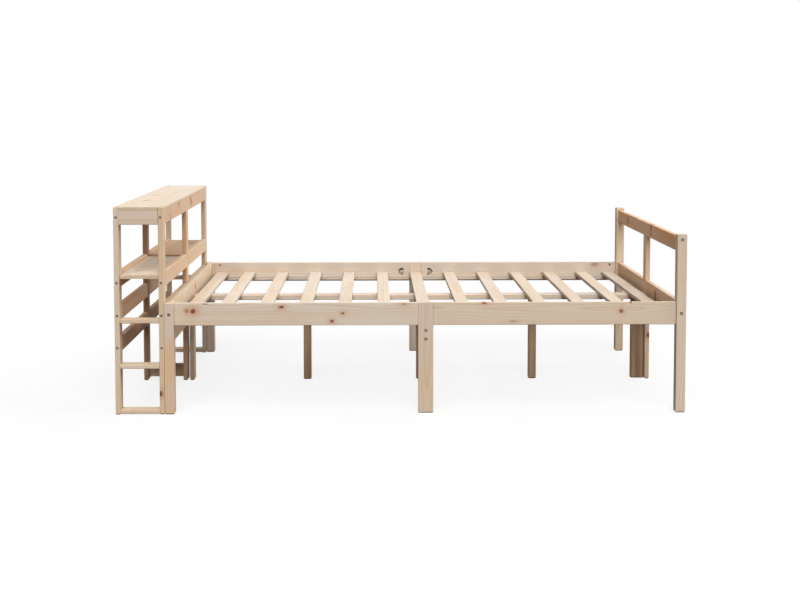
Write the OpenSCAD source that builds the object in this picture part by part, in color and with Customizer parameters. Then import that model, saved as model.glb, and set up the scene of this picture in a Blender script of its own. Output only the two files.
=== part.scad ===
// Double bed in solid pine with a bookcase headboard and an open footboard.
// X runs along the bed with the headboard at the low end, Y across it, Z up.
// The origin is on the floor, under the middle of the whole bed.

/* [Bed] */
// Length of the bed from the head legs to the foot posts
bed_length = 2063; // [1950:1:2250]
// Width over the legs
bed_width = 1470; // [1000:1:1900]
// Height of the head legs and of the side rails' top edges
rail_top = 442; // [400:1:500]
// Height of the foot posts
foot_height = 711; // [640:1:900]

/* [Bookcase headboard] */
// Height of the bookcase
case_height = 822; // [780:1:1100]
// Depth of the bookcase along the bed
case_depth = 194; // [150:1:300]
// Height of the shelf's top face
shelf_top = 553; // [530:1:600]
// Bottom edge of the middle rails
mid_rail_z = 374; // [360:1:400]
// Bottom edge of the lower rails
low_rail_z = 246; // [220:1:260]
// Thickness of the shelf boards
shelf_thick = 14; // [12:1:18]
// Thickness of the top panel
top_thick = 12; // [10:1:18]
// Height of the boards under the top panel and between the middle posts
case_board_h = 57; // [50:1:70]
// Height that the shelf rails stand above the shelf
shelf_lip = 11; // [6:1:16]
// Height of the lowest rungs' underside
rung_low = 3; // [0:1:20]
// Height of the gap between two rungs
rung_gap = 164; // [130:1:190]

/* [Boards] */
// Thickness of the planed boards
board_t = 20; // [19:1:24]
// Width of the narrow boards used for posts, rails and rungs
board_w = 60; // [54:1:66]
// Height of the side, head and foot rails
rail_h = 90; // [80:1:110]
// Leg size along the bed
leg_x = 38; // [34:1:50]
// Leg size across the bed
leg_y = 45; // [40:1:60]
// Thickness of the rungs between the bookcase posts
rung_t = 16; // [12:1:20]
// Chamfer along every planed edge
arris = 1.5; // [0.5:0.25:3]
// Chamfer round the floor ends of legs and posts
foot_chamfer = 4; // [2:0.5:6]

/* [Slats and supports] */
// Width of one slat along the bed
slat_w = 54; // [45:1:70]
// Thickness of one slat
slat_t = 16; // [12:1:20]
// Spacing of the first and the last slat from their neighbours
end_pitch = 132; // [100:1:150]
// Space between an end slat and the head or foot rail
end_gap = 26; // [10:1:40]
// Depth of the slats' top faces under the side rails' top edges
slat_drop = 46; // [30:1:60]
// Height of the ledgers and of the centre beam
ledger_h = 22; // [18:1:28]
// Width of the centre beam
beam_w = 70; // [60:1:90]
// Side of the square legs under the centre beam
beam_leg = 34; // [28:1:45]

/* [Joints] */
// Diameter of the bolts
bolt_d = 6; // [5:0.5:7]
// Play of a bolt in its hole
bolt_play = 0.6; // [0.4:0.1:1]
// Diameter of the half-moon pockets in the side rails
moon_d = 35; // [30:1:40]
// Wood left under a half-moon pocket
moon_floor = 4; // [3:0.5:4]
// Distance from a rail's end to the flat wall of its pocket
moon_wall = 28; // [24:1:36]

/* [Hidden] */

$fn = 48;

// Places along the bed
x_wall = -(bed_length + case_depth) / 2;
x_head = x_wall + case_depth;
x_foot = -x_wall;
x_mid = (x_head + x_foot) / 2;
rail_in_x = (leg_x - board_t) / 2;
x_head_rail = x_head + rail_in_x;
x_foot_rail = x_foot - rail_in_x - board_t;
x_well = x_head_rail + board_t;

// Places across the bed, near side first
y_near = -bed_width / 2;
rail_in_y = (leg_y - board_t) / 2;
y_rail = y_near + rail_in_y;
y_well = y_rail + board_t;
inner_w = -2 * (y_near + leg_y);
case_inner = -2 * (y_near + board_w);

// Heights
rail_z = rail_top - rail_h;
rail_mid_z = rail_z + rail_h / 2;
slat_z = rail_top - slat_drop - slat_t;
ledger_z = slat_z - ledger_h;
cross_z = ledger_z - rail_h;
top_board_z = case_height - top_thick - case_board_h;
shelf_z = shelf_top - shelf_thick;
shelf_rail_z = shelf_top + shelf_lip - board_w;
foot_horn = 11;
foot_top_z = foot_height - foot_horn - board_w;
floor_board_z = 14;
rung_count = 3;
rung_pitch = rung_gap + rung_t;

// Bookcase joinery
half_rail = (case_inner - board_w) / 2;
bay_x = x_wall + board_t;
bay_w = case_depth - 2 * board_t;
groove = 6;
fit = 0.3;
shelf_inset = 8;
bolt_drop = 11;
case_bolt_zs = [low_rail_z + board_w / 2 - bolt_drop, mid_rail_z + board_w / 2 - bolt_drop,
  shelf_rail_z + board_w / 2 - bolt_drop, top_board_z + case_board_h / 2];

// Bolts and nuts
bore_d = bolt_d + bolt_play;
head_d = 13;
small_head_d = 10;
head_h = 6;
head_under = 1;
sink_play = 1;
sink_h = head_h + head_under;
socket_d = 5;
socket_h = 3;
hex_sides = 6;
barrel_wall = 2;
barrel_d = bolt_d + 2 * barrel_wall;
barrel_l = 14;
barrel_in = 30;
bolt_grip = 40;
tip_play = 2;
pair_z = 33;
cross_pair = 17;
leg_bolt_zs = [rail_mid_z - pair_z, rail_mid_z + pair_z];
cross_mid_z = cross_z + rail_h / 2;
cross_bolt_zs = [cross_mid_z - cross_pair, cross_mid_z + cross_pair];
foot_bolt_drop = 10;
foot_bolt_zs = [rail_mid_z, foot_top_z + board_w - foot_bolt_drop];

// Half-moon joint
moon_depth = board_t - moon_floor;
moon_flat = 9;
moon_centre = moon_wall + moon_flat;
washer_r = 10;
washer_t = 6;
nut_w = 10;
nut_corner_d = nut_w / cos(180 / hex_sides);
nut_t = 5;
nut_seam = 0.1;
rod_out = 2;

// Slats
slat_count = 13;
half_count = (slat_count - 1) / 2;
slat_play = 1;
slat_l = -2 * (y_well + slat_play);
end_slat = x_mid - x_well - end_gap - slat_w / 2;
slat_pitch = (end_slat - end_pitch) / (half_count - 1);

// How far a cutter stands out of the wood that it cuts
over = 1;

// A rectangle with its four corners chamfered, the section of every planed board.
// The two corners at its low edge can have a chamfer of their own
module planed(a, b, low = arris) {
  e = arris;
  polygon([[low, 0], [a - low, 0], [a, low], [a, b - e],
    [a - e, b], [e, b], [0, b - e], [0, low]]);
}

// A board whose grain runs along X, from its low corner
module board_x(at, size, low = arris) {
  translate(at) rotate([90, 0, 90]) linear_extrude(size[0]) planed(size[1], size[2], low);
}

// A board whose grain runs along Y
module board_y(at, size, low = arris) {
  translate(at + [0, size[1], 0]) rotate([90, 0, 0])
    linear_extrude(size[1]) planed(size[0], size[2], low);
}

// A board whose grain runs along Z
module board_z(at, size) {
  translate(at) linear_extrude(size[2]) planed(size[0], size[1]);
}

// An upright with chamfered ends as well, more so at the floor
module leg(at, size) {
  intersection() {
    board_z(at, size);
    board_x(at, size, foot_chamfer);
    board_y(at, size, foot_chamfer);
  }
}

// The far side's copy of a piece
module at_far() {
  mirror([0, 1, 0]) children();
}

// The foot end's copy of a piece of the head end
module at_foot() {
  translate([2 * x_mid, 0, 0]) mirror([1, 0, 0]) children();
}

// The copy at the bed's side of a piece at the wall side of the bookcase
module at_bed() {
  translate([x_wall + x_head, 0, 0]) mirror([1, 0, 0]) children();
}

// A piece and its far copy
module both_sides() {
  children();
  at_far() children();
}

// Round rods and holes along X and along Y, from the low end
module rod_x(at, d, l) {
  translate(at) rotate([0, 90, 0]) cylinder(d = d, h = l);
}
module rod_y(at, d, l) {
  translate(at) rotate([-90, 0, 0]) cylinder(d = d, h = l);
}

// A bolt's hole along Y from the face at y, with a sink for a head of diameter head
module bolt_hole_y(x, y, z, head, through) {
  rod_y([x, y - over, z], head + sink_play, sink_h + over);
  rod_y([x, y, z], bore_d, through + over);
}

// Holes in a rail's near end, which is at y: the bolt's bore along Y, and the
// barrel nut's hole, open on the face at low X, or at high X for side 1
module end_bores(x, y, z, side) {
  rod_y([x + board_t / 2, y - over, z], bore_d, bolt_grip + over);
  reach = (board_t + barrel_l) / 2;
  rod_x([side > 0 ? x + board_t - reach : x - over, y + barrel_in, z],
    barrel_d + bolt_play, reach + over);
}

// Bookcase panels

// The end posts stand in notches in the top panel's corners
module corner_notch() {
  translate([x_wall - over, y_near - over, case_height - top_thick - over])
    cube([board_t + fit + over, board_w + fit + over, top_thick + 2 * over]);
}
module top_panel() {
  color("wheat") difference() {
    board_y([x_wall, y_near, case_height - top_thick], [case_depth, bed_width, top_thick]);
    both_sides() {
      corner_notch();
      at_bed() corner_notch();
    }
  }
}

// A shelf board, with its long edges let into the grooves of the shelf rails
// and cut back where it passes between the end posts
module shelf() {
  tongue = groove - fit;
  difference() {
    board_y([bay_x - tongue, y_near + shelf_inset, shelf_z],
      [bay_w + 2 * tongue, board_w - shelf_inset + half_rail, shelf_thick]);
    for (x = [bay_x - groove, bay_x + bay_w - fit])
      translate([x, y_near, shelf_z - over])
        cube([groove + fit, board_w + fit, shelf_thick + 2 * over]);
  }
}
module shelf_near() {
  color("burlywood") shelf();
}
module shelf_far() {
  color("burlywood") at_far() shelf();
}

// Bookcase posts

module end_post() {
  difference() {
    leg([x_wall, y_near, 0], [board_t, board_w, case_height]);
    for (z = case_bolt_zs)
      bolt_hole_y(x_wall + board_t / 2, y_near, z, small_head_d, board_w);
  }
}
module middle_post() {
  leg([x_wall, -board_w / 2, 0], [board_t, board_w, top_board_z]);
}
module post_wall_near() {
  color("burlywood") end_post();
}
module post_wall_far() {
  color("burlywood") at_far() end_post();
}
module post_bed_near() {
  color("burlywood") at_bed() end_post();
}
module post_bed_far() {
  color("burlywood") at_far() at_bed() end_post();
}
module post_wall_middle() {
  color("tan") middle_post();
}
module post_bed_middle() {
  color("tan") at_bed() middle_post();
}

// Boards and rungs between the posts

module end_boards() {
  color("wheat") both_sides()
    board_x([bay_x, y_near, top_board_z], [bay_w, board_t, case_board_h]);
}
module rungs() {
  for (i = [0:rung_count - 1])
    board_x([bay_x, y_near, rung_low + i * rung_pitch], [bay_w, board_w, rung_t]);
}
module rungs_near() {
  color("wheat") rungs();
}
module rungs_far() {
  color("wheat") at_far() rungs();
}
module floor_board() {
  color("tan") board_x([bay_x, -board_t / 2, floor_board_z], [bay_w, board_t, case_board_h]);
}

// Bookcase rails at the wall side, each with its copy at the bed's side

module top_rail() {
  y = y_near + board_w;
  difference() {
    board_y([x_wall, y, top_board_z], [board_t, case_inner, case_board_h]);
    both_sides() end_bores(x_wall, y, case_bolt_zs[3], 1);
  }
}

// Two halves that butt against the middle post
module half_rails(z, bolt_z) {
  y = y_near + board_w;
  both_sides() difference() {
    board_y([x_wall, y, z], [board_t, half_rail, board_w]);
    end_bores(x_wall, y, bolt_z, 1);
  }
}

// The shelf rails have a groove that carries the shelf boards
module shelf_rails() {
  difference() {
    half_rails(shelf_rail_z, case_bolt_zs[2]);
    translate([bay_x - groove, -case_inner / 2 - over, shelf_z])
      cube([groove + over, case_inner + 2 * over, shelf_thick + fit]);
  }
}
module top_rail_wall() {
  color("wheat") top_rail();
}
module top_rail_bed() {
  color("burlywood") at_bed() top_rail();
}
module shelf_rails_wall() {
  color("tan") shelf_rails();
}
module shelf_rails_bed() {
  color("burlywood") at_bed() shelf_rails();
}
module mid_rails_wall() {
  color("tan") half_rails(mid_rail_z, case_bolt_zs[1]);
}
module mid_rails_bed() {
  color("burlywood") at_bed() half_rails(mid_rail_z, case_bolt_zs[1]);
}
module low_rails_wall() {
  color("tan") half_rails(low_rail_z, case_bolt_zs[0]);
}
module low_rails_bed() {
  color("burlywood") at_bed() half_rails(low_rail_z, case_bolt_zs[0]);
}

// Legs of the bed

// Two bolt holes along X, with their sinks in the face towards the head
module leg_bores_x() {
  for (z = leg_bolt_zs) {
    rod_x([x_head - over, y_near + leg_y / 2, z], head_d + sink_play, sink_h + over);
    rod_x([x_head, y_near + leg_y / 2, z], bore_d, leg_x + over);
  }
}
module head_leg() {
  difference() {
    leg([x_head, y_near, 0], [leg_x, leg_y, rail_top]);
    bolt_hole_y(x_head + leg_x / 2, y_near, rail_mid_z, head_d, leg_y);
    leg_bores_x();
  }
}
module foot_post() {
  difference() {
    leg([x_foot - leg_x, y_near, 0], [leg_x, leg_y, foot_height]);
    for (z = foot_bolt_zs)
      bolt_hole_y(x_foot - leg_x / 2, y_near, z, head_d, leg_y);
    at_foot() leg_bores_x();
  }
}

// The middle leg is a flat board in line with the side rails, between their ends
module middle_leg() {
  difference() {
    leg([x_mid - board_w / 2, y_rail, 0], [board_w, board_t, rail_top]);
    rod_x([x_mid - board_w, y_rail + board_t / 2, rail_mid_z], bore_d, 2 * board_w);
    for (z = cross_bolt_zs)
      bolt_hole_y(x_mid, y_rail, z, head_d, board_t);
  }
}
module head_leg_near() {
  color("burlywood") head_leg();
}
module head_leg_far() {
  color("burlywood") at_far() head_leg();
}
module foot_post_near() {
  color("burlywood") foot_post();
}
module foot_post_far() {
  color("burlywood") at_far() foot_post();
}
module middle_leg_near() {
  color("burlywood") middle_leg();
}
module middle_leg_far() {
  color("burlywood") at_far() middle_leg();
}

// Rails across the bed

module across_rail(x, z, h, bolt_z, side) {
  y = y_near + leg_y;
  difference() {
    board_y([x, y, z], [board_t, inner_w, h]);
    both_sides() end_bores(x, y, bolt_z, side);
  }
}
module head_rail() {
  color("burlywood") across_rail(x_head_rail, rail_z, rail_h, rail_mid_z, -1);
}
module foot_low_rail() {
  color("peru") across_rail(x_foot_rail, rail_z, rail_h, foot_bolt_zs[0], 1);
}
module foot_top_rail() {
  color("peru") across_rail(x_foot_rail, foot_top_z, board_w, foot_bolt_zs[1], 1);
}
module foot_upright() {
  color("peru") board_z([x_foot_rail, -board_w / 2, rail_top], [board_t, board_w, foot_top_z - rail_top]);
}
module head_centre_leg() {
  color("tan") leg([x_head_rail, -board_w / 2, 0], [board_t, board_w, rail_z]);
}
module foot_centre_leg() {
  color("tan") leg([x_foot_rail, -board_w / 2, 0], [board_t, board_w, rail_z]);
}
module foot_beam_leg() {
  color("peru") leg([x_foot_rail - board_w, -board_t / 2, 0], [board_w, board_t, ledger_z]);
}
module cross_beam() {
  color("tan") difference() {
    board_y([x_mid - board_t / 2, y_well, cross_z], [board_t, -2 * y_well, rail_h]);
    both_sides()
      for (z = cross_bolt_zs)
        end_bores(x_mid - board_t / 2, y_well, z, -1);
  }
}

// Side rails

// The half-moon pocket is cut into the inner face, with its flat wall towards
// the middle leg, and the rod's bore runs from it to the rail's end
module half_moon_pocket() {
  x = x_mid - board_w / 2 - moon_centre;
  translate([x, y_well - moon_depth, rail_mid_z]) rotate([-90, 0, 0])
    linear_extrude(moon_depth + over) intersection() {
      circle(d = moon_d);
      translate([-moon_d, -moon_d]) square([moon_d + moon_flat, 2 * moon_d]);
    }
  rod_x([x, y_rail + board_t / 2, rail_mid_z], bore_d, moon_centre + over);
}

// The near rail at the head side of the middle leg; the others are its copies
module side_rail() {
  x = x_head + leg_x;
  difference() {
    board_x([x, y_rail, rail_z], [x_mid - board_w / 2 - x, board_t, rail_h]);
    half_moon_pocket();
    for (z = leg_bolt_zs) {
      rod_x([x - over, y_rail + board_t / 2, z], bore_d, bolt_grip + over);
      rod_y([x + barrel_in, y_rail + (board_t - barrel_l) / 2, z], barrel_d + bolt_play, board_t);
    }
  }
}
module side_rail_near_head() {
  color("wheat") side_rail();
}
module side_rail_near_foot() {
  color("wheat") at_foot() side_rail();
}
module side_rail_far_head() {
  color("wheat") at_far() side_rail();
}
module side_rail_far_foot() {
  color("wheat") at_far() at_foot() side_rail();
}

// Supports and slats

module ledger() {
  x = x_head + leg_x;
  board_x([x, y_well, ledger_z], [x_mid - board_w / 2 - x, board_t, ledger_h]);
}
module ledgers() {
  ledger();
  at_foot() ledger();
}
module ledgers_near() {
  color("tan") ledgers();
}
module ledgers_far() {
  color("tan") at_far() ledgers();
}
module centre_beam_head() {
  color("tan") board_x([x_well, -beam_w / 2, ledger_z], [x_mid - x_well, beam_w, ledger_h]);
}
module centre_beam_foot() {
  color("tan") at_foot() centre_beam_head();
}
module beam_legs() {
  quarter = (x_mid - x_well) / 2;
  color("peru") {
    for (x = [x_mid - quarter, x_mid + quarter])
      leg([x - beam_leg / 2, -beam_leg / 2, 0], [beam_leg, beam_leg, ledger_z]);
    leg([x_mid - beam_leg / 2, -beam_leg / 2, 0], [beam_leg, beam_leg, cross_z]);
  }
}

// Centre of slat i, counted from the head; the end slats stand closer
function slat_x(i) = let (k = i - half_count)
  x_mid + (abs(k) < half_count ? k * slat_pitch : sign(k) * end_slat);

module slat(i) {
  color("wheat") board_y([slat_x(i) - slat_w / 2, -slat_l / 2, slat_z], [slat_w, slat_l, slat_t]);
}

// Fasteners

// A bolt along +Y with a hexagon socket, from the outer face of its head
module bolt(head, length) {
  rotate([-90, 0, 0]) difference() {
    union() {
      cylinder(d = head, h = head_h);
      cylinder(d = bolt_d, h = length);
    }
    translate([0, 0, -over]) cylinder(d = socket_d, h = socket_h + over, $fn = hex_sides);
  }
}

// A barrel nut along X, with its cross bore along Y
module barrel_nut() {
  difference() {
    rod_x([-barrel_l / 2, 0, 0], barrel_d, barrel_l);
    rod_y([0, -barrel_d, 0], bore_d, 2 * barrel_d);
  }
}

// A bolt through a leg of thickness through into a rail's end, and its barrel nut,
// from the leg's outer face
module bolt_and_nut(head, through) {
  translate([0, sink_h - head_h, 0])
    bolt(head, through + bolt_grip - tip_play - sink_h + head_h);
  translate([0, through + barrel_in, 0]) barrel_nut();
}

module bookcase_bolts() {
  color("silver") both_sides()
    for (x = [x_wall + board_t / 2, x_head - board_t / 2])
      for (z = case_bolt_zs)
        translate([x, y_near, z]) bolt_and_nut(small_head_d, board_w);
}

// Bolts through the corner legs and through the middle legs
module bed_bolts() {
  corners = [[x_head + leg_x / 2, rail_mid_z], [x_foot - leg_x / 2, foot_bolt_zs[0]],
    [x_foot - leg_x / 2, foot_bolt_zs[1]]];
  color("silver") both_sides() {
    for (p = corners)
      translate([p[0], y_near, p[1]]) bolt_and_nut(head_d, leg_y);
    for (z = cross_bolt_zs)
      translate([x_mid, y_rail, z]) bolt_and_nut(head_d, board_t);
    lengthwise_bolts();
    at_foot() lengthwise_bolts();
  }
}
module lengthwise_bolts() {
  for (z = leg_bolt_zs)
    translate([x_head, y_near + leg_y / 2, z]) rotate([0, 0, -90]) bolt_and_nut(head_d, leg_x);
}

// A rod through each middle leg draws both side rails against it. In each pocket
// a half-moon washer bears on the flat wall, and a hexagon nut bears on the washer
module half_moon_fittings() {
  y = y_rail + board_t / 2;
  wall = board_w / 2 + moon_wall;
  rod = wall + washer_t + nut_t + rod_out;
  color("silver") both_sides() {
    rod_x([x_mid - rod, y, rail_mid_z], bolt_d, 2 * rod);
    translate([x_mid, y, rail_mid_z])
      for (end = [0, 1])
        mirror([end, 0, 0]) translate([wall, 0, 0]) washer_and_nut();
  }
}
module washer_and_nut() {
  h = board_t / 2 - moon_floor - fit;
  difference() {
    union() {
      translate([0, -h, 0]) rotate([-90, 0, 0]) linear_extrude(2 * h) intersection() {
        circle(r = washer_r);
        translate([0, -washer_r]) square([washer_t, 2 * washer_r]);
      }
      translate([washer_t + nut_seam, 0, 0]) rotate([0, 90, 0])
        cylinder(d = nut_corner_d, h = nut_t, $fn = hex_sides);
    }
    rod_x([-over, 0, 0], bore_d, washer_t + nut_t + 2 * over);
  }
}

top_panel();
shelf_near();
shelf_far();
post_wall_near();
post_wall_middle();
post_wall_far();
post_bed_near();
post_bed_middle();
post_bed_far();
end_boards();
rungs_near();
rungs_far();
floor_board();
top_rail_wall();
top_rail_bed();
shelf_rails_wall();
shelf_rails_bed();
mid_rails_wall();
mid_rails_bed();
low_rails_wall();
low_rails_bed();
head_leg_near();
head_leg_far();
head_rail();
head_centre_leg();
foot_post_near();
foot_post_far();
foot_top_rail();
foot_low_rail();
foot_upright();
foot_centre_leg();
foot_beam_leg();
side_rail_near_head();
side_rail_near_foot();
side_rail_far_head();
side_rail_far_foot();
middle_leg_near();
middle_leg_far();
cross_beam();
ledgers_near();
ledgers_far();
centre_beam_head();
centre_beam_foot();
beam_legs();
slat(0);  // slat_01
slat(1);  // slat_02
slat(2);  // slat_03
slat(3);  // slat_04
slat(4);  // slat_05
slat(5);  // slat_06
slat(6);  // slat_07
slat(7);  // slat_08
slat(8);  // slat_09
slat(9);  // slat_10
slat(10);  // slat_11
slat(11);  // slat_12
slat(12);  // slat_13
bookcase_bolts();
bed_bolts();
half_moon_fittings();
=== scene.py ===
"""Looks of a pine double bed with a bookcase headboard, around its frame.

Every board gets a pine finish of its own: growth rings round a pith line beside the
board, fibres along its grain, and the knots that show on it.
"""
import math
import random

import bmesh
import bpy
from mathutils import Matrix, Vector


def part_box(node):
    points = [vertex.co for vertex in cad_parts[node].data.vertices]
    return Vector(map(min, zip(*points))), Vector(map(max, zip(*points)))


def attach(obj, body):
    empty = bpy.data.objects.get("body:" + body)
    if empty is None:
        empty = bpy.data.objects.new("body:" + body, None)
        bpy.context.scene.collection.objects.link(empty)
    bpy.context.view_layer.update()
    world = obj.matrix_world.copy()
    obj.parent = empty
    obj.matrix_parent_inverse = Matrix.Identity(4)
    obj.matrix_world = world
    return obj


bl_info = {
    "name": "Pine Double Bed",
    "version": (1, 0, 0),
    "blender": (4, 5, 0),
    "location": "3D View > Sidebar > Bed",
    "description": "Finishes and stage for a pine double bed with a bookcase headboard",
    "category": "Object",
}

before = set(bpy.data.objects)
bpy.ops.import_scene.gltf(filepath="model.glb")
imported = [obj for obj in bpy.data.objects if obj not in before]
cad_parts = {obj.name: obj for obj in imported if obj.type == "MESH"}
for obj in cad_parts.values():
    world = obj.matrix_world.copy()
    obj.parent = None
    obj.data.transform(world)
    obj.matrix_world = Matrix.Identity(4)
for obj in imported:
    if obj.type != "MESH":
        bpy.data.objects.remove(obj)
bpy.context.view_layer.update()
MILLI = 0.001


def tint(red, green, blue):
    """A display colour, in sRGB from 0 to 255, as scene-linear numbers."""
    def linear(level):
        share = level / 255
        return share / 12.92 if share <= 0.04045 else ((share + 0.055) / 1.055) ** 2.4
    return linear(red), linear(green), linear(blue)


def colour_property(name, description, display):
    """A colour in the settings, with a display colour as its default."""
    return bpy.props.FloatVectorProperty(
        name=name, description=description, subtype="COLOR", size=3, min=0, max=1,
        default=tint(*display))


# Shader graph helpers

# Sockets of a Mix node that mixes colours
MIX_FACTOR, MIX_FIRST, MIX_SECOND, MIX_RESULT = 0, 6, 7, 2


class Wire:
    """A number that a node tree works out, for use in Python arithmetic."""

    def __init__(self, graph, socket):
        self.graph, self.socket = graph, socket

    def __add__(self, other):
        return self.graph.maths("ADD", self, other)

    def __sub__(self, other):
        return self.graph.maths("SUBTRACT", self, other)

    def __rsub__(self, other):
        return self.graph.maths("SUBTRACT", other, self)

    def __mul__(self, other):
        return self.graph.maths("MULTIPLY", self, other)

    def __truediv__(self, other):
        return self.graph.maths("DIVIDE", self, other)

    def __rtruediv__(self, other):
        return self.graph.maths("DIVIDE", other, self)

    def __gt__(self, other):
        return self.graph.maths("GREATER_THAN", self, other)

    def __lt__(self, other):
        return self.graph.maths("LESS_THAN", self, other)

    def __abs__(self):
        return self.graph.maths("ABSOLUTE", self)

    __radd__ = __add__
    __rmul__ = __mul__


class Graph:
    """A node tree of a material or of the world, built step by step."""

    def __init__(self, owner):
        owner.use_nodes = True
        self.tree = owner.node_tree
        self.tree.nodes.clear()

    def node(self, kind, settings=None, inputs=None, output=0):
        """Adds a node, applies its settings, fills its sockets and returns one output."""
        made = self.tree.nodes.new(kind)
        for key, value in (settings or {}).items():
            if key == "stops":
                self.set_stops(made.color_ramp, value)
            else:
                setattr(made, key, value)
        for key, value in (inputs or {}).items():
            if isinstance(value, Wire):
                self.tree.links.new(value.socket, made.inputs[key])
            else:
                made.inputs[key].default_value = value
        return Wire(self, made.outputs[output]) if made.outputs else None

    @staticmethod
    def set_stops(ramp, stops):
        while len(ramp.elements) < len(stops):
            ramp.elements.new(1)
        for element, (position, level) in zip(ramp.elements, stops):
            element.position = position
            element.color = (level, level, level, 1)

    def maths(self, operation, *values):
        return self.node("ShaderNodeMath", {"operation": operation}, dict(enumerate(values)))

    def split(self, vector):
        node = self.node("ShaderNodeSeparateXYZ", None, {0: vector}).socket.node
        return [Wire(self, output) for output in node.outputs]

    def join(self, *values):
        return self.node("ShaderNodeCombineXYZ", None, dict(enumerate(values)))

    def noise(self, vector, scale=1, detail=1):
        return self.node("ShaderNodeTexNoise", {"noise_dimensions": "3D"},
                         {"Vector": vector, "Scale": scale, "Detail": detail}, "Fac")

    def fade(self, value, start, end):
        """0 up to start and 1 from end on, with a smooth step between them."""
        return self.node("ShaderNodeMapRange", {"interpolation_type": "SMOOTHSTEP"},
                         {"Value": value, "From Min": start, "From Max": end})

    def blend(self, factor, first, second):
        """A colour between two colours."""
        colours = {key: value if isinstance(value, Wire) else (*value, 1)
                   for key, value in ((MIX_FIRST, first), (MIX_SECOND, second))}
        return self.node("ShaderNodeMix", {"data_type": "RGBA", "clamp_factor": True},
                         {MIX_FACTOR: factor, **colours}, MIX_RESULT)

    def seen_plainly(self):
        """1 for rays from the camera, a reflection or clear glass, and 0 for other rays."""
        node = self.node("ShaderNodeLightPath").socket.node
        camera, glossy, clear = (Wire(self, node.outputs["Is %s Ray" % ray])
                                 for ray in ("Camera", "Glossy", "Transmission"))
        return self.maths("MAXIMUM", self.maths("MAXIMUM", camera, glossy), clear)

    def finish(self, shader, kind="ShaderNodeOutputMaterial"):
        self.node(kind, None, {"Surface": shader})


# Settings

class BedWoodSettings(bpy.types.PropertyGroup):
    """Colours and sizes of the pine."""
    pale: colour_property("Pale", "Palest boards", (229, 217, 201))
    cream: colour_property("Cream", "Pale boards with a yellow cast", (228, 212, 191))
    rosy: colour_property("Rosy", "Pale boards with a pink cast", (225, 206, 189))
    grey: colour_property("Grey", "Pale boards with a grey cast", (213, 202, 188))
    honey: colour_property("Honey", "Boards of a light yellow-brown", (226, 203, 172))
    tan: colour_property("Tan", "Boards of a light orange-brown", (226, 194, 160))
    peach: colour_property("Peach", "Boards with an orange cast", (225, 184, 149))
    # Amber is partly the wood's own tone and partly painted shade: its strong orange stands in
    # for the warm shade on the foot's top rail and the wall's rails
    amber: colour_property("Amber", "Boards with a strong orange cast", (222, 168, 120))
    # Brown is painted shade: a darker copy of the pine for the boards that stand in shade under
    # the bed and at the wall
    brown: colour_property("Brown", "Dark boards under the bed and at the wall", (144, 114, 87))
    late: colour_property("Late wood", "Dark half of a growth ring", (204, 166, 128))
    warm: colour_property("Warm streak", "Broad streaks along a board", (222, 195, 164))
    halo: colour_property("Knot halo", "Stained wood round a knot", (206, 139, 98))
    knot: colour_property("Knot", "Heart of a knot", (128, 70, 44))
    # The knot rim's colour is also the colour of the painted shade in the joints and the pockets
    rim: colour_property("Knot rim", "Dark ring of a knot", (92, 50, 33))
    end_grain: colour_property("End grain", "Sawn ends of the boards", (205, 170, 132))
    ring: bpy.props.FloatProperty(
        name="Ring width", description="Width of one growth ring",
        default=0.0042, min=0.001, max=0.02, subtype="DISTANCE", unit="LENGTH")
    ring_depth: bpy.props.FloatProperty(
        name="Ring contrast", description="Strength of the late wood",
        default=0.34, min=0, max=1, subtype="FACTOR")
    knot_reach: bpy.props.FloatVectorProperty(
        name="Knot reach", description="Depths in a thick board where a knot ends and fades",
        size=2, default=(0.036, 0.02), min=0, max=0.1, subtype="XYZ_LENGTH", unit="LENGTH")
    # Painted shade in the joints, in the gap at the bookcase and in the half-moon pockets: how
    # far it reaches from a corner and how strong it is
    seam: bpy.props.FloatProperty(
        name="Seam width", description="Reach of the dark seams between boards",
        default=0.006, min=0, max=0.05, subtype="DISTANCE", unit="LENGTH")
    pocket: bpy.props.FloatProperty(
        name="Pocket shade", description="Reach of the shade in the half-moon pockets",
        default=0.014, min=0, max=0.05, subtype="DISTANCE", unit="LENGTH")
    seam_shade_depth: bpy.props.FloatProperty(
        name="Seam contrast", description="Strength of the dark seams",
        default=0.4, min=0, max=1, subtype="FACTOR")
    gap_shade_depth: bpy.props.FloatProperty(
        name="Gap contrast", description="Strength of the gap's and the pockets' shade",
        default=1.0, min=0, max=1, subtype="FACTOR")
    relief: bpy.props.FloatProperty(
        name="Relief", description="Height of the fibres",
        default=0.00025, min=0, max=0.002, subtype="DISTANCE", unit="LENGTH")
    edge: bpy.props.FloatProperty(
        name="Sanded edge", description="Rounding of the boards' corners",
        default=0.0008, min=0, max=0.002, subtype="DISTANCE", unit="LENGTH")


class BedSteelSettings(bpy.types.PropertyGroup):
    """Look of the bolts and fittings."""
    zinc: colour_property("Zinc", "Zinc-plated steel", (150, 136, 120))
    # Bright zinc is partly the plating's own colour and partly a painted highlight on the
    # half-moon fittings
    bright: colour_property(
        "Bright zinc", "Plating of the half-moon fittings", (232, 228, 222))
    dull: colour_property("Dull zinc", "Stains in the plating", (84, 74, 64))
    screw_head: bpy.props.FloatProperty(
        name="Screw head", description="Diameter of the slat screws' heads",
        default=0.0065, min=0.004, max=0.01, subtype="DISTANCE", unit="LENGTH")
    screw_inset: bpy.props.FloatProperty(
        name="Screw inset", description="Distance of the outer screws from a slat's end",
        default=0.0105, min=0.006, max=0.02, subtype="DISTANCE", unit="LENGTH")


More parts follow.
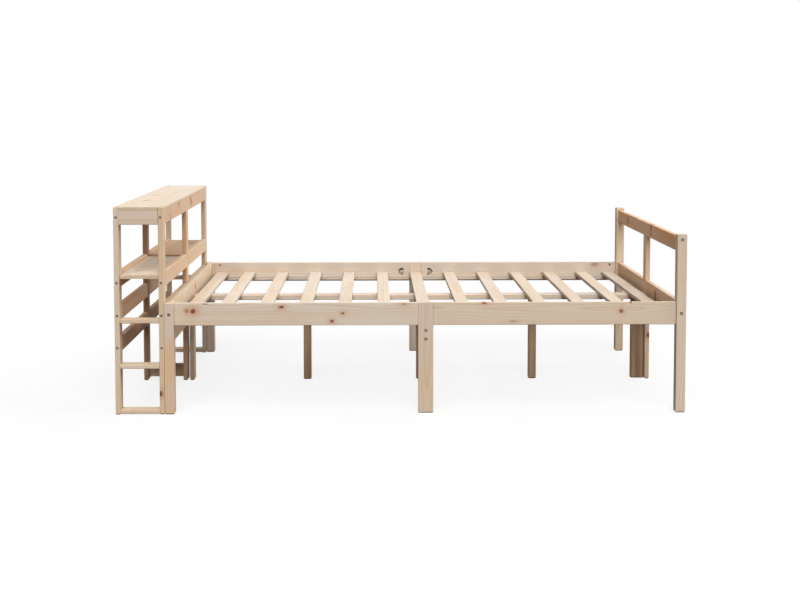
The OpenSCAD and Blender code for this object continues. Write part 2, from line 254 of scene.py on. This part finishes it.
class BedStageSettings(bpy.types.PropertyGroup):
    """Camera, lamps and floor."""
    camera_place: bpy.props.FloatVectorProperty(
        name="Camera", description="Place of the camera", size=3,
        default=(-0.10897, -6.33896, 1.22922), subtype="TRANSLATION", unit="LENGTH")
    camera_pitch: bpy.props.FloatProperty(
        name="Pitch", description="How far the camera looks down",
        default=math.radians(4.040), subtype="ANGLE", unit="ROTATION")
    camera_yaw: bpy.props.FloatProperty(
        name="Yaw", description="How far the camera turns towards the footboard",
        default=math.radians(1.058), subtype="ANGLE", unit="ROTATION")
    lens: bpy.props.FloatProperty(
        name="Lens", description="Focal length on a 36 mm sensor",
        default=64.443, min=10, max=300, unit="CAMERA")
    shift: bpy.props.FloatProperty(
        name="Shift", description="Vertical shift of the lens", default=-0.12)
    front: bpy.props.FloatProperty(
        name="Front lamp", description="Strength of the lamp at the front", default=2.95, min=0)
    front_height: bpy.props.FloatProperty(
        name="Front height", description="Angle of the front lamp above the horizon",
        default=math.radians(46), subtype="ANGLE", unit="ROTATION")
    side: bpy.props.FloatProperty(
        name="Side lamp", description="Strength of the lamp at the foot end", default=1.5, min=0)
    side_height: bpy.props.FloatProperty(
        name="Side height", description="Angle of the side lamp above the horizon",
        default=math.radians(29), subtype="ANGLE", unit="ROTATION")
    side_turn: bpy.props.FloatProperty(
        name="Side turn", description="Turn of the side lamp from the front to the right",
        default=math.radians(83), subtype="ANGLE", unit="ROTATION")
    back: bpy.props.FloatProperty(
        name="Back lamp", description="Strength of the lamp behind the far side",
        default=1.0, min=0)
    back_height: bpy.props.FloatProperty(
        name="Back height", description="Angle of the back lamp above the horizon",
        default=math.radians(25), subtype="ANGLE", unit="ROTATION")
    back_turn: bpy.props.FloatProperty(
        name="Back turn", description="Turn of the back lamp from the front to the right",
        default=math.radians(150), subtype="ANGLE", unit="ROTATION")
    wall: bpy.props.FloatProperty(
        name="Wall lamp", description="Power of the panel behind the bookcase",
        default=8, min=0, unit="POWER")
    wall_place: bpy.props.FloatVectorProperty(
        name="Wall lamp place", description="Place of the panel behind the bookcase", size=3,
        default=(-2.7, 0.4, 0.8), subtype="TRANSLATION", unit="LENGTH")
    wall_size: bpy.props.FloatProperty(
        name="Wall lamp size", description="Side of the square panel behind the bookcase",
        default=1.8, min=0.1, subtype="DISTANCE", unit="LENGTH")
    lamp_size: bpy.props.FloatProperty(
        name="Lamp size", description="Angle that each lamp fills",
        default=math.radians(46), subtype="ANGLE", unit="ROTATION")
    room: bpy.props.FloatProperty(
        name="Room light", description="Strength of the light from all round",
        default=0.03, min=0)
    room_tint: colour_property(
        "Room tint", "Colour of the light from all round", (255, 236, 214))
    floor: colour_property("Floor", "Colour that the floor throws back", (78, 60, 46))


def settings(group):
    """The scene's settings of one group, such as bed_wood."""
    return getattr(bpy.context.scene, group)


# Pine

# Order of the axes along the grain, across it and through the board
AXES = {"X": (0, 2, 1), "Y": (1, 0, 2), "Z": (2, 0, 1)}

# Where the pith runs: its distance in metres to the side of the board's middle, its
# distance in front of it or behind it, and its lean over each metre of the board
PITH_SIDE = 0.045
PITH_DEPTH = (0.035, 0.08)
PITH_LEAN = 0.014

# The part of the noise that a board is cut from, and how the next board of its group
# differs: in that part, in depth and side in metres, and in shade
NOISE_PARTS = (10, 90)
NEXT_PART = 7.3
NEXT_DEPTH = 0.023
NEXT_SIDE = 0.017
NEXT_SHADE = 0.618
SHADE_RANGE = 0.12

# Noise varies round this level
NOISE_MEAN = 0.5

# Patterns in the wood: their spots in a metre along the grain and across it
BENDS = (1.7, 4)
FIBRES = (14, 900)
STREAKS = (0.9, 26)
CLOUDS = (3, 9)

# Growth rings: the range of their bends in metres, how often their width changes in a
# metre and by how many rings, and how dark one is from its early wood to its late wood
BEND_DEPTH = 0.022
WIDTH_CHANGES = 60
WIDTH_RANGE = 1.6
RING_STOPS = ((0, 0.05), (0.45, 0.1), (0.85, 0.85), (0.93, 1), (1, 0.05))

# Knots: spots in a metre of their ragged edge, and in radii its depth, where the heart
# starts and is full, where the rim is, how sharp that is and how far the rings are pushed
RAGGED_SPOTS = 70
RAGGED_DEPTH = 0.7
HEART_EDGE = (1.45, 0.55)
RIM_PLACE = 0.9
RIM_SHARPNESS = 3.5
RING_PUSH = 1.5

# Where each pattern starts to colour the wood and where it is full, and its strength
CAST_EDGE = (0.4, 0.6)
STREAK_EDGE, STREAK_STRENGTH = (0.42, 0.72), 0.5
FIBRE_EDGE, FIBRE_STRENGTH = (0.5, 0.75), 0.14
SAWN_EDGE, SAWN_STRENGTH = (0.75, 0.92), 0.4
HALO_STRENGTH = 0.65
HEART_STRENGTH = 0.95
RIM_STRENGTH = 0.3

# Share of open air from which the wood at a joint and in a pocket gets no painted shade, and
# how far below that the painted shade is darkest
JOINT_AIR = 0.9
POCKET_AIR = 0.62
AIR_STEP = 0.6

# Rays that each point sends out to find corners and edges
CORNER_SAMPLES = 4

# Roughness of planed wood, what fibres and sawn ends add and what late wood takes away,
# and the level of its reflections
PLANED = 0.56
FIBRE_ROUGHNESS = 0.16
SAWN_ROUGHNESS = 0.15
LATE_SMOOTHNESS = 0.06
SHINE = 0.25

# Shares of the fibres and the late wood in the relief, and its strength
FIBRE_HEIGHT = 0.6
LATE_HEIGHT = 0.4
RELIEF_STRENGTH = 0.5


class Knot:
    """A knot where a branch ran along one axis: its two other coordinates, in the order
    of the axes, and its radius, all in millimetres. Force is how strong it shows, stretch
    its length along the grain as a multiple of its height, and glow the width of the
    stain round it as a multiple of its size."""

    def __init__(self, axis, first, second, radius, force=1, stretch=1.3, glow=2.5):
        self.axis, self.place = axis, (first * MILLI, second * MILLI)
        self.radius, self.force = radius * MILLI, force
        self.stretch, self.glow = stretch, glow


def knot_marks(graph, board, place, xyz, grain_axis):
    """What a board's knots do at each point: how far they push its rings aside, and how
    strong their stain, their heart and their rim are."""
    wood = settings("bed_wood")
    low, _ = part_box(board)
    ragged = graph.noise(place, RAGGED_SPOTS)
    push, halos, hearts, rims = 0, 0, 0, 0
    for knot in KNOTS[board]:
        inward = "XYZ".index(knot.axis)
        axes = [i for i in range(3) if i != inward]
        reach = [knot.radius * (knot.stretch if i == grain_axis else 1) for i in axes]
        parts = [(xyz[i] - at) / r for i, at, r in zip(axes, knot.place, reach)]
        gap = graph.maths("SQRT", parts[0] * parts[0] + parts[1] * parts[1])
        gap = gap + (ragged - NOISE_MEAN) * RAGGED_DEPTH
        spread = gap / knot.glow
        halo = graph.maths("EXPONENT", spread * spread * -1)
        ring = (gap - RIM_PLACE) * RIM_SHARPNESS
        rim = graph.maths("EXPONENT", ring * ring * -1)
        force = graph.fade(xyz[inward] - low[inward], *wood.knot_reach) * knot.force
        push = halo * (knot.radius * RING_PUSH) + push
        halos = halo * force + halos
        hearts = graph.fade(gap, *HEART_EDGE) * force + hearts
        rims = rim * force * RIM_STRENGTH + rims
    return push, halos, hearts, rims


def joint_shade(graph, board):
    """How strong the shade in a board's joints or pockets is at each point."""
    wood = settings("bed_wood")
    depth = wood.gap_shade_depth if board in GAP_BOARDS | POCKET_BOARDS else wood.seam_shade_depth
    reach = wood.pocket if board in POCKET_BOARDS else wood.seam
    unshaded_air = POCKET_AIR if board in POCKET_BOARDS else JOINT_AIR
    # Ambient occlusion finds other boards nearby, and the wood there is darkened as painted shade
    air = graph.node("ShaderNodeAmbientOcclusion", {"samples": CORNER_SAMPLES},
                     {"Distance": reach}, "AO")
    return (1 - graph.fade(air, unshaded_air - AIR_STEP, unshaded_air)) * depth


def pine(board, grain, tone, cast):
    """A pine finish for a board, of one tone with a cast of another in places."""
    wood = settings("bed_wood")
    low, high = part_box(board)
    middle = (low + high) / 2
    dice = random.Random(sum(ord(letter) * place for place, letter in enumerate(board, 1)))
    material = bpy.data.materials.new("pine_" + board)
    graph = Graph(material)
    place = graph.node("ShaderNodeTexCoord", output="Object")
    xyz = graph.split(place)
    first, second, third = AXES[grain]
    along, across, deep = xyz[first], xyz[second], xyz[third]

    # Boards of one group differ by the number of the cell that they lie in
    drift = dice.uniform(*NOISE_PARTS)
    shade = 0
    if board in CELLS:
        axis, limits = CELLS[board]
        number = sum(((xyz["XYZ".index(axis)] > limit) for limit in limits), 0)
        drift = number * NEXT_PART + drift
        deep = deep + number * NEXT_DEPTH
        across = across + number * NEXT_SIDE
        shade = graph.maths("FRACT", number * NEXT_SHADE + dice.random())
        shade = shade * (2 * SHADE_RANGE) - SHADE_RANGE

    def pattern(spots, detail=1):
        """Noise whose spots are drawn out along the grain."""
        lengthwise, crosswise = spots
        return graph.noise(graph.join(along * lengthwise + drift, across * crosswise,
                                      deep * crosswise), detail=detail)

    # Distance from the pith, which runs beside the board and not quite along it
    lean = dice.uniform(-PITH_LEAN, PITH_LEAN)
    side = across - along * lean - (middle[second] + dice.uniform(-PITH_SIDE, PITH_SIDE))
    back = deep - (middle[third] + dice.choice((-1, 1)) * dice.uniform(*PITH_DEPTH))
    radius = graph.maths("SQRT", side * side + back * back)
    radius = radius + (pattern(BENDS) - NOISE_MEAN) * BEND_DEPTH
    if board in KNOTS:
        push, halos, hearts, rims = knot_marks(graph, board, place, xyz, first)
        radius = radius + push

    width = graph.noise(graph.join(radius * WIDTH_CHANGES + drift, 0, 0))
    phase = graph.maths("FRACT", radius / wood.ring + width * WIDTH_RANGE)
    late = graph.node("ShaderNodeValToRGB", {"stops": RING_STOPS}, {0: phase})
    fibre = pattern(FIBRES, detail=2)
    streak = pattern(STREAKS, detail=2)
    cloud = pattern(CLOUDS)
    normal = graph.split(graph.node("ShaderNodeNewGeometry", output="Normal"))
    sawn = graph.fade(abs(normal[first]), *SAWN_EDGE)

    colour = graph.blend(graph.fade(cloud, *CAST_EDGE), getattr(wood, tone), getattr(wood, cast))
    streaky = graph.fade(streak, *STREAK_EDGE) * STREAK_STRENGTH + shade
    colour = graph.blend(streaky, colour, wood.warm)
    colour = graph.blend(late * (cloud + NOISE_MEAN) * wood.ring_depth, colour, wood.late)
    colour = graph.blend(graph.fade(fibre, *FIBRE_EDGE) * FIBRE_STRENGTH, colour, wood.late)
    if board in KNOTS:
        colour = graph.blend(halos * HALO_STRENGTH, colour, wood.halo)
        colour = graph.blend(hearts * HEART_STRENGTH, colour, wood.knot)
        colour = graph.blend(rims, colour, wood.rim)
    colour = graph.blend(sawn * SAWN_STRENGTH, colour, wood.end_grain)
    # Painted shade in the joints and pockets, in the knot rim's colour
    colour = graph.blend(joint_shade(graph, board), colour, wood.rim)

    rough = fibre * FIBRE_ROUGHNESS + (PLANED - late * LATE_SMOOTHNESS) + sawn * SAWN_ROUGHNESS
    soft = graph.node("ShaderNodeBevel", {"samples": CORNER_SAMPLES}, {"Radius": wood.edge},
                      "Normal")
    bump = graph.node("ShaderNodeBump", None, {
        "Strength": RELIEF_STRENGTH, "Distance": wood.relief,
        "Height": fibre * FIBRE_HEIGHT + late * LATE_HEIGHT, "Normal": soft}, "Normal")
    graph.finish(graph.node("ShaderNodeBsdfPrincipled", None, {
        "Base Color": colour, "Roughness": rough, "Normal": bump, "Specular IOR Level": SHINE}))
    return material


# Steel

# Stains in the plating: spots in a metre, detail, and where one starts and is full
STAIN_SPOTS, STAIN_DETAIL, STAIN_EDGE = 260, 3, (0.4, 0.7)

# Grit in the plating: spots in a metre, height in metres, and strength
GRIT_SPOTS, GRIT_HEIGHT, GRIT_STRENGTH = 2400, 0.1 * MILLI, 0.3

# Roughness of clean plating, and what stains add
PLATED, STAIN_ROUGHNESS = 0.26, 0.2

# Share of metal in the bright plating; the rest scatters its near-white colour as a painted
# highlight on the half-moon fittings
BRIGHT_METAL = 0.5


def zinc(name, seed, plating, metal=1.0):
    """Zinc-plated steel with a dull, slightly stained face."""
    material = bpy.data.materials.new(name)
    graph = Graph(material)
    place = graph.node("ShaderNodeTexCoord", output="Object")
    stain = graph.noise(place, STAIN_SPOTS + seed, STAIN_DETAIL)
    grit = graph.noise(place, GRIT_SPOTS)
    colour = graph.blend(graph.fade(stain, *STAIN_EDGE), plating, settings("bed_steel").dull)
    bump = graph.node("ShaderNodeBump", None, {
        "Strength": GRIT_STRENGTH, "Distance": GRIT_HEIGHT, "Height": grit}, "Normal")
    graph.finish(graph.node("ShaderNodeBsdfPrincipled", None, {
        "Base Color": colour, "Metallic": metal, "Normal": bump,
        "Roughness": stain * STAIN_ROUGHNESS + PLATED}))
    return material


def dress(node, material):
    """Gives a node of the frame its finish."""
    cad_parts[node].material_slots[0].material = material


# The knots that show, by board

KNOTS = {
    "side_rail_near_head": [
        Knot("Y", -822, 410, 8, 1, 1.1, 3), Knot("Y", -847, 411, 7, 0.5, 1.1, 1.8),
        Knot("Y", -473, 425, 4.5, 1, 2, 2.6), Knot("Y", -774, 438, 2.5, 0.6, 4, 1.6),
        Knot("Y", -274, 368, 5.5, 0.9, 1.3, 2.6), Knot("Y", -232, 400, 4.5, 0.8, 1.4, 2.6),
        Knot("Y", 8, 436, 3, 0.5, 3, 2.5)],
    "side_rail_near_foot": [
        Knot("Y", 872, 406, 6.5, 0.8, 1, 2.6), Knot("Y", 328, 439, 3, 0.9, 3, 2.5),
        Knot("Y", 910, 441, 2.5, 1, 1.2, 1.8), Knot("Y", 444, 366, 3, 0.4, 4, 2.5)],
    "side_rail_far_foot": [Knot("Y", 985, 430, 9, 0.4, 2, 2.2)],
    "post_bed_near": [Knot("Y", -951, 84, 8)],
    "foot_centre_leg": [Knot("Y", 1116, 196, 8)],
    "foot_top_rail": [
        Knot("X", 429, 671, 16, 1, 0.9, 2), Knot("X", -142, 686, 14, 1, 0.9, 2),
        Knot("X", -136, 655, 8, 0.6)],
    "foot_low_rail": [Knot("X", -254, 401, 20, 1, 0.8, 1.8)],
    "top_rail_bed": [
        Knot("X", 122, 797, 11, 0.7, 1.2, 3), Knot("X", 158, 778, 11, 0.7, 1.2, 3),
        Knot("X", -264, 804, 9, 0.7), Knot("X", -520, 770, 10, 0.3)],
    "shelf_near": [Knot("Z", -1000, -309, 8)],
    "shelf_far": [Knot("Z", -985, 560, 8)],
    "head_rail": [Knot("X", 34, 411, 10, 0.9, 1)],
    "top_panel": [Knot("Z", -1058, -342, 13, 0.6, 1, 1.8), Knot("Z", -1074, 11, 13, 0.5, 1, 1.8)],
    "top_rail_wall": [Knot("X", 260, 780, 9), Knot("X", -455, 775, 5, 0.7)],
    "mid_rails_wall": [Knot("X", 330, 402, 9)],
    "low_rails_wall": [Knot("X", -390, 281, 8, 0.8)],
    "post_wall_far": [Knot("X", 705, 455, 7, 0.8)],
}

# Groups of boards: nodes, direction of the grain, tone and the tone of the cast; the brown tone
# is painted shade, and the amber tone partly painted shade
BOOKCASE_PANELS = [
    ("top_panel", "Y", "cream", "pale"), ("shelf_near", "Y", "pale", "cream"),
    ("shelf_far", "Y", "peach", "tan")]
# The middle post at the wall takes the brown tone, as painted shade
BOOKCASE_POSTS = [
    ("post_wall_near", "Z", "cream", "honey"), ("post_bed_near", "Z", "honey", "tan"),
    ("post_wall_middle", "Z", "brown", "brown"), ("post_bed_middle", "Z", "peach", "tan"),
    ("post_wall_far", "Z", "tan", "honey"), ("post_bed_far", "Z", "honey", "rosy")]
# The wall's middle and low rails take the amber and brown tones, partly as painted shade
BOOKCASE_RAILS = [
    ("top_rail_wall", "Y", "rosy", "honey"), ("top_rail_bed", "Y", "tan", "peach"),
    ("shelf_rails_wall", "Y", "tan", "peach"), ("shelf_rails_bed", "Y", "honey", "tan"),
    ("mid_rails_wall", "Y", "amber", "tan"), ("mid_rails_bed", "Y", "tan", "honey"),
    ("low_rails_wall", "Y", "amber", "brown"), ("low_rails_bed", "Y", "tan", "peach")]
# The floor board takes the brown tone, as painted shade
BOOKCASE_ENDS = [
    ("end_boards", "X", "rosy", "cream"), ("rungs_near", "X", "honey", "cream"),
    ("rungs_far", "X", "rosy", "honey"), ("floor_board", "X", "brown", "tan")]
BED_LEGS = [
    ("head_leg_near", "Z", "rosy", "tan"), ("head_leg_far", "Z", "rosy", "honey"),
    ("foot_post_near", "Z", "rosy", "cream"), ("foot_post_far", "Z", "cream", "honey"),
    ("middle_leg_near", "Z", "rosy", "honey"), ("middle_leg_far", "Z", "grey", "grey")]
# The foot's top rail takes the amber tone, partly as painted shade
BED_RAILS = [
    ("side_rail_near_head", "X", "pale", "cream"), ("side_rail_near_foot", "X", "cream", "cream"),
    ("side_rail_far_head", "X", "grey", "grey"), ("side_rail_far_foot", "X", "grey", "grey"),
    ("head_rail", "Y", "cream", "honey"), ("foot_low_rail", "Y", "peach", "tan"),
    ("foot_top_rail", "Y", "amber", "amber"), ("foot_upright", "Z", "rosy", "tan")]
# The cross beam, the beam legs and the foot's beam leg take the brown tone, as painted shade
SUPPORTS = [
    ("ledgers_near", "X", "rosy", "honey"), ("ledgers_far", "X", "grey", "rosy"),
    ("centre_beam_head", "X", "grey", "rosy"), ("centre_beam_foot", "X", "grey", "cream"),
    ("cross_beam", "Y", "brown", "brown"), ("beam_legs", "Z", "brown", "brown"),
    ("head_centre_leg", "Z", "honey", "rosy"), ("foot_centre_leg", "Z", "rosy", "tan"),
    ("foot_beam_leg", "Z", "brown", "brown")]

# The slats take turns in four pairs of tones, three pairs on from slat to slat
SLAT_TONES = (("pale", "cream"), ("rosy", "pale"), ("cream", "pale"), ("pale", "rosy"))
SLATS = [("slat_%02d" % number, "Y", *SLAT_TONES[number * 3 % 4]) for number in range(1, 14)]

# Where a node holds several boards, or a panel that is glued from strips, the planes
# between them, in metres
CELLS = {
    "end_boards": ("Y", [0]), "rungs_near": ("Z", [0.1, 0.28]), "rungs_far": ("Z", [0.1, 0.28]),
    "shelf_rails_wall": ("Y", [0]), "shelf_rails_bed": ("Y", [0]),
    "mid_rails_wall": ("Y", [0]), "mid_rails_bed": ("Y", [0]),
    "low_rails_wall": ("Y", [0]), "low_rails_bed": ("Y", [0]),
    "ledgers_near": ("X", [0.1]), "ledgers_far": ("X", [0.1]),
    "beam_legs": ("X", [-0.15, 0.35]), "top_panel": ("X", [-1.071, -1.002]),
    "shelf_near": ("X", [-1.064, -0.997]), "shelf_far": ("X", [-1.07, -1.005]),
}

# Boards on both sides of the gap between the bookcase and the bed, which take the gap's strong
# painted shade
GAP_BOARDS = {"post_bed_near", "post_bed_far", "head_leg_near", "head_leg_far"}

# Boards with half-moon pockets that show, which take painted shade in the pockets
POCKET_BOARDS = {"side_rail_far_head", "side_rail_far_foot"}


def finish_boards(boards):
    """Gives each board in the list a pine finish of its own."""
    for board, grain, tone, cast in boards:
        dress(board, pine(board, grain, tone, cast))


# Slat screws, in radii of the head: the cross recess, and the head's rim and neck
RECESS_ARM, RECESS_HALF, RECESS_DEPTH = 0.62, 0.16, 0.4
HEAD_RIM, HEAD_NECK = 0.94, 0.5

# Heights of the rim and of the edge over the slat, and corners of the round head
RIM_HEIGHT, EDGE_HEIGHT = 0.2 * MILLI, 0.05 * MILLI
HEAD_CORNERS = 24

# What a screw's place in metres is multiplied by, for the seed of its turn
TURN_ALONG, TURN_ACROSS = 1000, 7000


def add_screw_head(shape, place, radius):
    """A countersunk head with a cross recess, its rim just above the point place."""
    seed = round(place.x * TURN_ALONG + place.y * TURN_ACROSS)
    turn = random.Random(seed).uniform(0, math.pi)
    arm, half, floor = radius * RECESS_ARM, radius * RECESS_HALF, radius * RECESS_DEPTH
    corners = [(arm, -half), (arm, half), (half, half), (half, arm), (-half, arm),
               (-half, half), (-arm, half), (-arm, -half), (-half, -half), (-half, -arm),
               (half, -arm), (half, -half)]

    def loop(points, height):
        rows = [Vector((x * math.cos(turn) - y * math.sin(turn),
                        x * math.sin(turn) + y * math.cos(turn), height)) for x, y in points]
        verts = [shape.verts.new(place + row) for row in rows]
        return verts, [shape.edges.new((a, b)) for a, b in zip(verts, verts[1:] + verts[:1])]

    def circle(size):
        steps = [math.tau * step / HEAD_CORNERS for step in range(HEAD_CORNERS)]
        return [(size * math.cos(a), size * math.sin(a)) for a in steps]

    def wall(above, below):
        for a, b, c, d in zip(above, above[1:] + above[:1], below[1:] + below[:1], below):
            shape.faces.new((a, b, c, d))

    rim, rim_edges = loop(circle(radius * HEAD_RIM), RIM_HEIGHT)
    edge, _ = loop(circle(radius), EDGE_HEIGHT)
    neck, _ = loop(circle(radius * HEAD_NECK), -radius)
    mouth, mouth_edges = loop(corners, RIM_HEIGHT)
    base, _ = loop(corners, RIM_HEIGHT - floor)
    bmesh.ops.triangle_fill(shape, edges=rim_edges + mouth_edges, use_beauty=True)
    wall(rim, edge)
    wall(edge, neck)
    wall(mouth, base)
    shape.faces.new(neck)
    shape.faces.new(base)
    bmesh.ops.recalc_face_normals(shape, faces=shape.faces)


# Operators

class BED_OT_bookcase_panels(bpy.types.Operator):
    """Finish the top panel and the shelves"""
    bl_idname = "bed.bookcase_panels"
    bl_label = "Bookcase Panels"

    def execute(self, context):
        finish_boards(BOOKCASE_PANELS)
        return {"FINISHED"}


class BED_OT_bookcase_posts(bpy.types.Operator):
    """Finish the six posts of the bookcase"""
    bl_idname = "bed.bookcase_posts"
    bl_label = "Bookcase Posts"

    def execute(self, context):
        finish_boards(BOOKCASE_POSTS)
        return {"FINISHED"}


class BED_OT_bookcase_rails(bpy.types.Operator):
    """Finish the rails between the bookcase's posts"""
    bl_idname = "bed.bookcase_rails"
    bl_label = "Bookcase Rails"

    def execute(self, context):
        finish_boards(BOOKCASE_RAILS)
        return {"FINISHED"}


class BED_OT_bookcase_ends(bpy.types.Operator):
    """Finish the rungs and the short boards of the bookcase"""
    bl_idname = "bed.bookcase_ends"
    bl_label = "Bookcase Ends"

    def execute(self, context):
        finish_boards(BOOKCASE_ENDS)
        return {"FINISHED"}


class BED_OT_legs(bpy.types.Operator):
    """Finish the legs and the foot posts"""
    bl_idname = "bed.legs"
    bl_label = "Legs"

    def execute(self, context):
        finish_boards(BED_LEGS)
        return {"FINISHED"}


class BED_OT_rails(bpy.types.Operator):
    """Finish the side rails, the head rail and the footboard"""
    bl_idname = "bed.rails"
    bl_label = "Rails"

    def execute(self, context):
        finish_boards(BED_RAILS)
        return {"FINISHED"}


class BED_OT_supports(bpy.types.Operator):
    """Finish the ledgers, the beams and their legs"""
    bl_idname = "bed.supports"
    bl_label = "Supports"

    def execute(self, context):
        finish_boards(SUPPORTS)
        return {"FINISHED"}


class BED_OT_slats(bpy.types.Operator):
    """Finish the thirteen slats"""
    bl_idname = "bed.slats"
    bl_label = "Slats"

    def execute(self, context):
        finish_boards(SLATS)
        return {"FINISHED"}


class BED_OT_fittings(bpy.types.Operator):
    """Finish the bolts, the barrel nuts and the half-moon fittings"""
    bl_idname = "bed.fittings"
    bl_label = "Fittings"

    def execute(self, context):
        steel = settings("bed_steel")
        fittings = (("bookcase_bolts", steel.zinc, 1.0), ("bed_bolts", steel.zinc, 1.0),
                    ("half_moon_fittings", steel.bright, BRIGHT_METAL))
        for seed, (name, plating, metal) in enumerate(fittings):
            dress(name, zinc("zinc_" + name, seed, plating, metal))
        return {"FINISHED"}


class BED_OT_slat_screws(bpy.types.Operator):
    """Drive a screw through each slat into both ledgers and the centre beam"""
    bl_idname = "bed.slat_screws"
    bl_label = "Slat Screws"

    def execute(self, context):
        fits = settings("bed_steel")
        mesh = bpy.data.meshes.new("slat_screws")
        shape = bmesh.new()
        for name, *_ in SLATS:
            low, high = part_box(name)
            middle = (low + high) / 2
            reach = (high.y - low.y) / 2 - fits.screw_inset
            for step in (-1, 0, 1):
                place = Vector((middle.x, middle.y + step * reach, high.z))
                add_screw_head(shape, place, fits.screw_head / 2)
        shape.to_mesh(mesh)
        shape.free()
        screws = bpy.data.objects.new("slat_screws", mesh)
        context.scene.collection.objects.link(screws)
        mesh.materials.append(zinc("zinc_slat_screws", 3, fits.zinc))
        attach(screws, "root")
        return {"FINISHED"}


# Width of the camera's sensor, in millimetres
SENSOR_WIDTH = 36

# Tilt and turn of the panel behind the bookcase, in degrees
WALL_LAMP_AIM = (85, -90)

# The floor, in metres: half its side, and how far it lies under the bed's feet
FLOOR_HALF = 40
FLOOR_DROP = 0.5 * MILLI

# The floor to the camera: its white paint, the share of plain white in it near the bed,
# and from where to where that share grows to one
FLOOR_WHITE = (0.95, 0.95, 0.95)
WHITE_SHARE = 0.8
WHITE_REACH = (1.4, 4.5)


class BED_OT_stage(bpy.types.Operator):
    """Set up the camera, the lamps, the floor and the white room"""
    bl_idname = "bed.stage"
    bl_label = "Stage"

    def execute(self, context):
        stage = settings("bed_stage")
        scene = context.scene
        scene.view_settings.view_transform = "Standard"
        self.add_camera(scene, stage)
        for name, strength, height, turn in (
                ("front_lamp", stage.front, stage.front_height, 0),
                ("side_lamp", stage.side, stage.side_height, stage.side_turn),
                ("back_lamp", stage.back, stage.back_height, stage.back_turn)):
            self.add_lamp(scene, name, strength, stage.lamp_size, height, turn)
        self.add_wall_lamp(scene, stage)
        self.add_room(scene, stage)
        self.add_floor(stage)
        return {"FINISHED"}

    def add_camera(self, scene, stage):
        data = bpy.data.cameras.new("camera")
        data.sensor_width = SENSOR_WIDTH
        data.lens = stage.lens
        data.shift_y = stage.shift
        camera = bpy.data.objects.new("camera", data)
        camera.location = stage.camera_place
        camera.rotation_euler = (math.radians(90) - stage.camera_pitch, 0, -stage.camera_yaw)
        scene.collection.objects.link(camera)
        scene.camera = camera

    def add_lamp(self, scene, name, strength, size, height, turn):
        """A wide lamp, as soft as a large window."""
        data = bpy.data.lights.new(name, "SUN")
        data.energy = strength
        data.angle = size
        lamp = bpy.data.objects.new(name, data)
        lamp.rotation_euler = (math.radians(90) - height, 0, turn)
        scene.collection.objects.link(lamp)

    def add_wall_lamp(self, scene, stage):
        """A soft panel that lights the back of the bookcase."""
        data = bpy.data.lights.new("wall_lamp", "AREA")
        data.energy = stage.wall
        data.size = stage.wall_size
        lamp = bpy.data.objects.new("wall_lamp", data)
        lamp.location = stage.wall_place
        tilt, turn = WALL_LAMP_AIM
        lamp.rotation_euler = (math.radians(tilt), 0, math.radians(turn))
        scene.collection.objects.link(lamp)

    def add_room(self, scene, stage):
        """White to the camera and in reflections, and dim as a source of light."""
        world = bpy.data.worlds.new("room")
        graph = Graph(world)
        seen = graph.seen_plainly()
        strength = seen * (1 - stage.room) + stage.room
        light = graph.node("ShaderNodeBackground", None, {
            "Color": graph.blend(seen, stage.room_tint, (1, 1, 1)), "Strength": strength})
        graph.finish(light, "ShaderNodeOutputWorld")
        scene.world = world

    def add_floor(self, stage):
        """A white floor that keeps a faint shadow and throws back little light."""
        corners = [(x * FLOOR_HALF, y * FLOOR_HALF, 0)
                   for x, y in ((-1, -1), (1, -1), (1, 1), (-1, 1))]
        mesh = bpy.data.meshes.new("floor")
        mesh.from_pydata(corners, [], [(0, 1, 2, 3)])
        floor = bpy.data.objects.new("floor", mesh)
        floor.location.z = -FLOOR_DROP
        material = bpy.data.materials.new("floor_paint")
        graph = Graph(material)
        seen = graph.seen_plainly()
        paint = graph.node("ShaderNodeBsdfDiffuse", None, {
            "Color": graph.blend(seen, stage.floor, FLOOR_WHITE)})
        glow = graph.node("ShaderNodeEmission", None, {"Strength": 1.0})
        place = graph.node("ShaderNodeTexCoord", output="Object")
        reach = graph.node("ShaderNodeVectorMath", {"operation": "LENGTH"}, {0: place}, "Value")
        far = graph.fade(reach, *WHITE_REACH)
        share = seen * (far * (1 - WHITE_SHARE) + WHITE_SHARE)
        graph.finish(graph.node("ShaderNodeMixShader", None, {0: share, 1: paint, 2: glow}))
        mesh.materials.append(material)
        bpy.context.scene.collection.objects.link(floor)


class BED_PT_panel(bpy.types.Panel):
    """The bed's pieces in the sidebar"""
    bl_label = "Pine Double Bed"
    bl_idname = "BED_PT_panel"
    bl_space_type = "VIEW_3D"
    bl_region_type = "UI"
    bl_category = "Bed"

    def draw(self, context):
        for operator in OPERATORS:
            self.layout.operator(operator.bl_idname)
        for group, kind in GROUPS.items():
            column = self.layout.column(heading=kind.__doc__)
            for name in kind.__annotations__:
                column.prop(settings(group), name)


GROUPS = {"bed_wood": BedWoodSettings, "bed_steel": BedSteelSettings,
          "bed_stage": BedStageSettings}
OPERATORS = (BED_OT_bookcase_panels, BED_OT_bookcase_posts, BED_OT_bookcase_rails,
             BED_OT_bookcase_ends, BED_OT_legs, BED_OT_rails, BED_OT_supports, BED_OT_slats,
             BED_OT_fittings, BED_OT_slat_screws, BED_OT_stage)
CLASSES = (*GROUPS.values(), *OPERATORS, BED_PT_panel)


def register():
    for kind in CLASSES:
        bpy.utils.register_class(kind)
    for group, kind in GROUPS.items():
        setattr(bpy.types.Scene, group, bpy.props.PointerProperty(type=kind))


def unregister():
    for group in GROUPS:
        delattr(bpy.types.Scene, group)
    for kind in reversed(CLASSES):
        bpy.utils.unregister_class(kind)


def main():
    register()
    for operator in OPERATORS:
        family, name = operator.bl_idname.split(".")
        getattr(getattr(bpy.ops, family), name)()


if __name__ == "__main__":
    main()
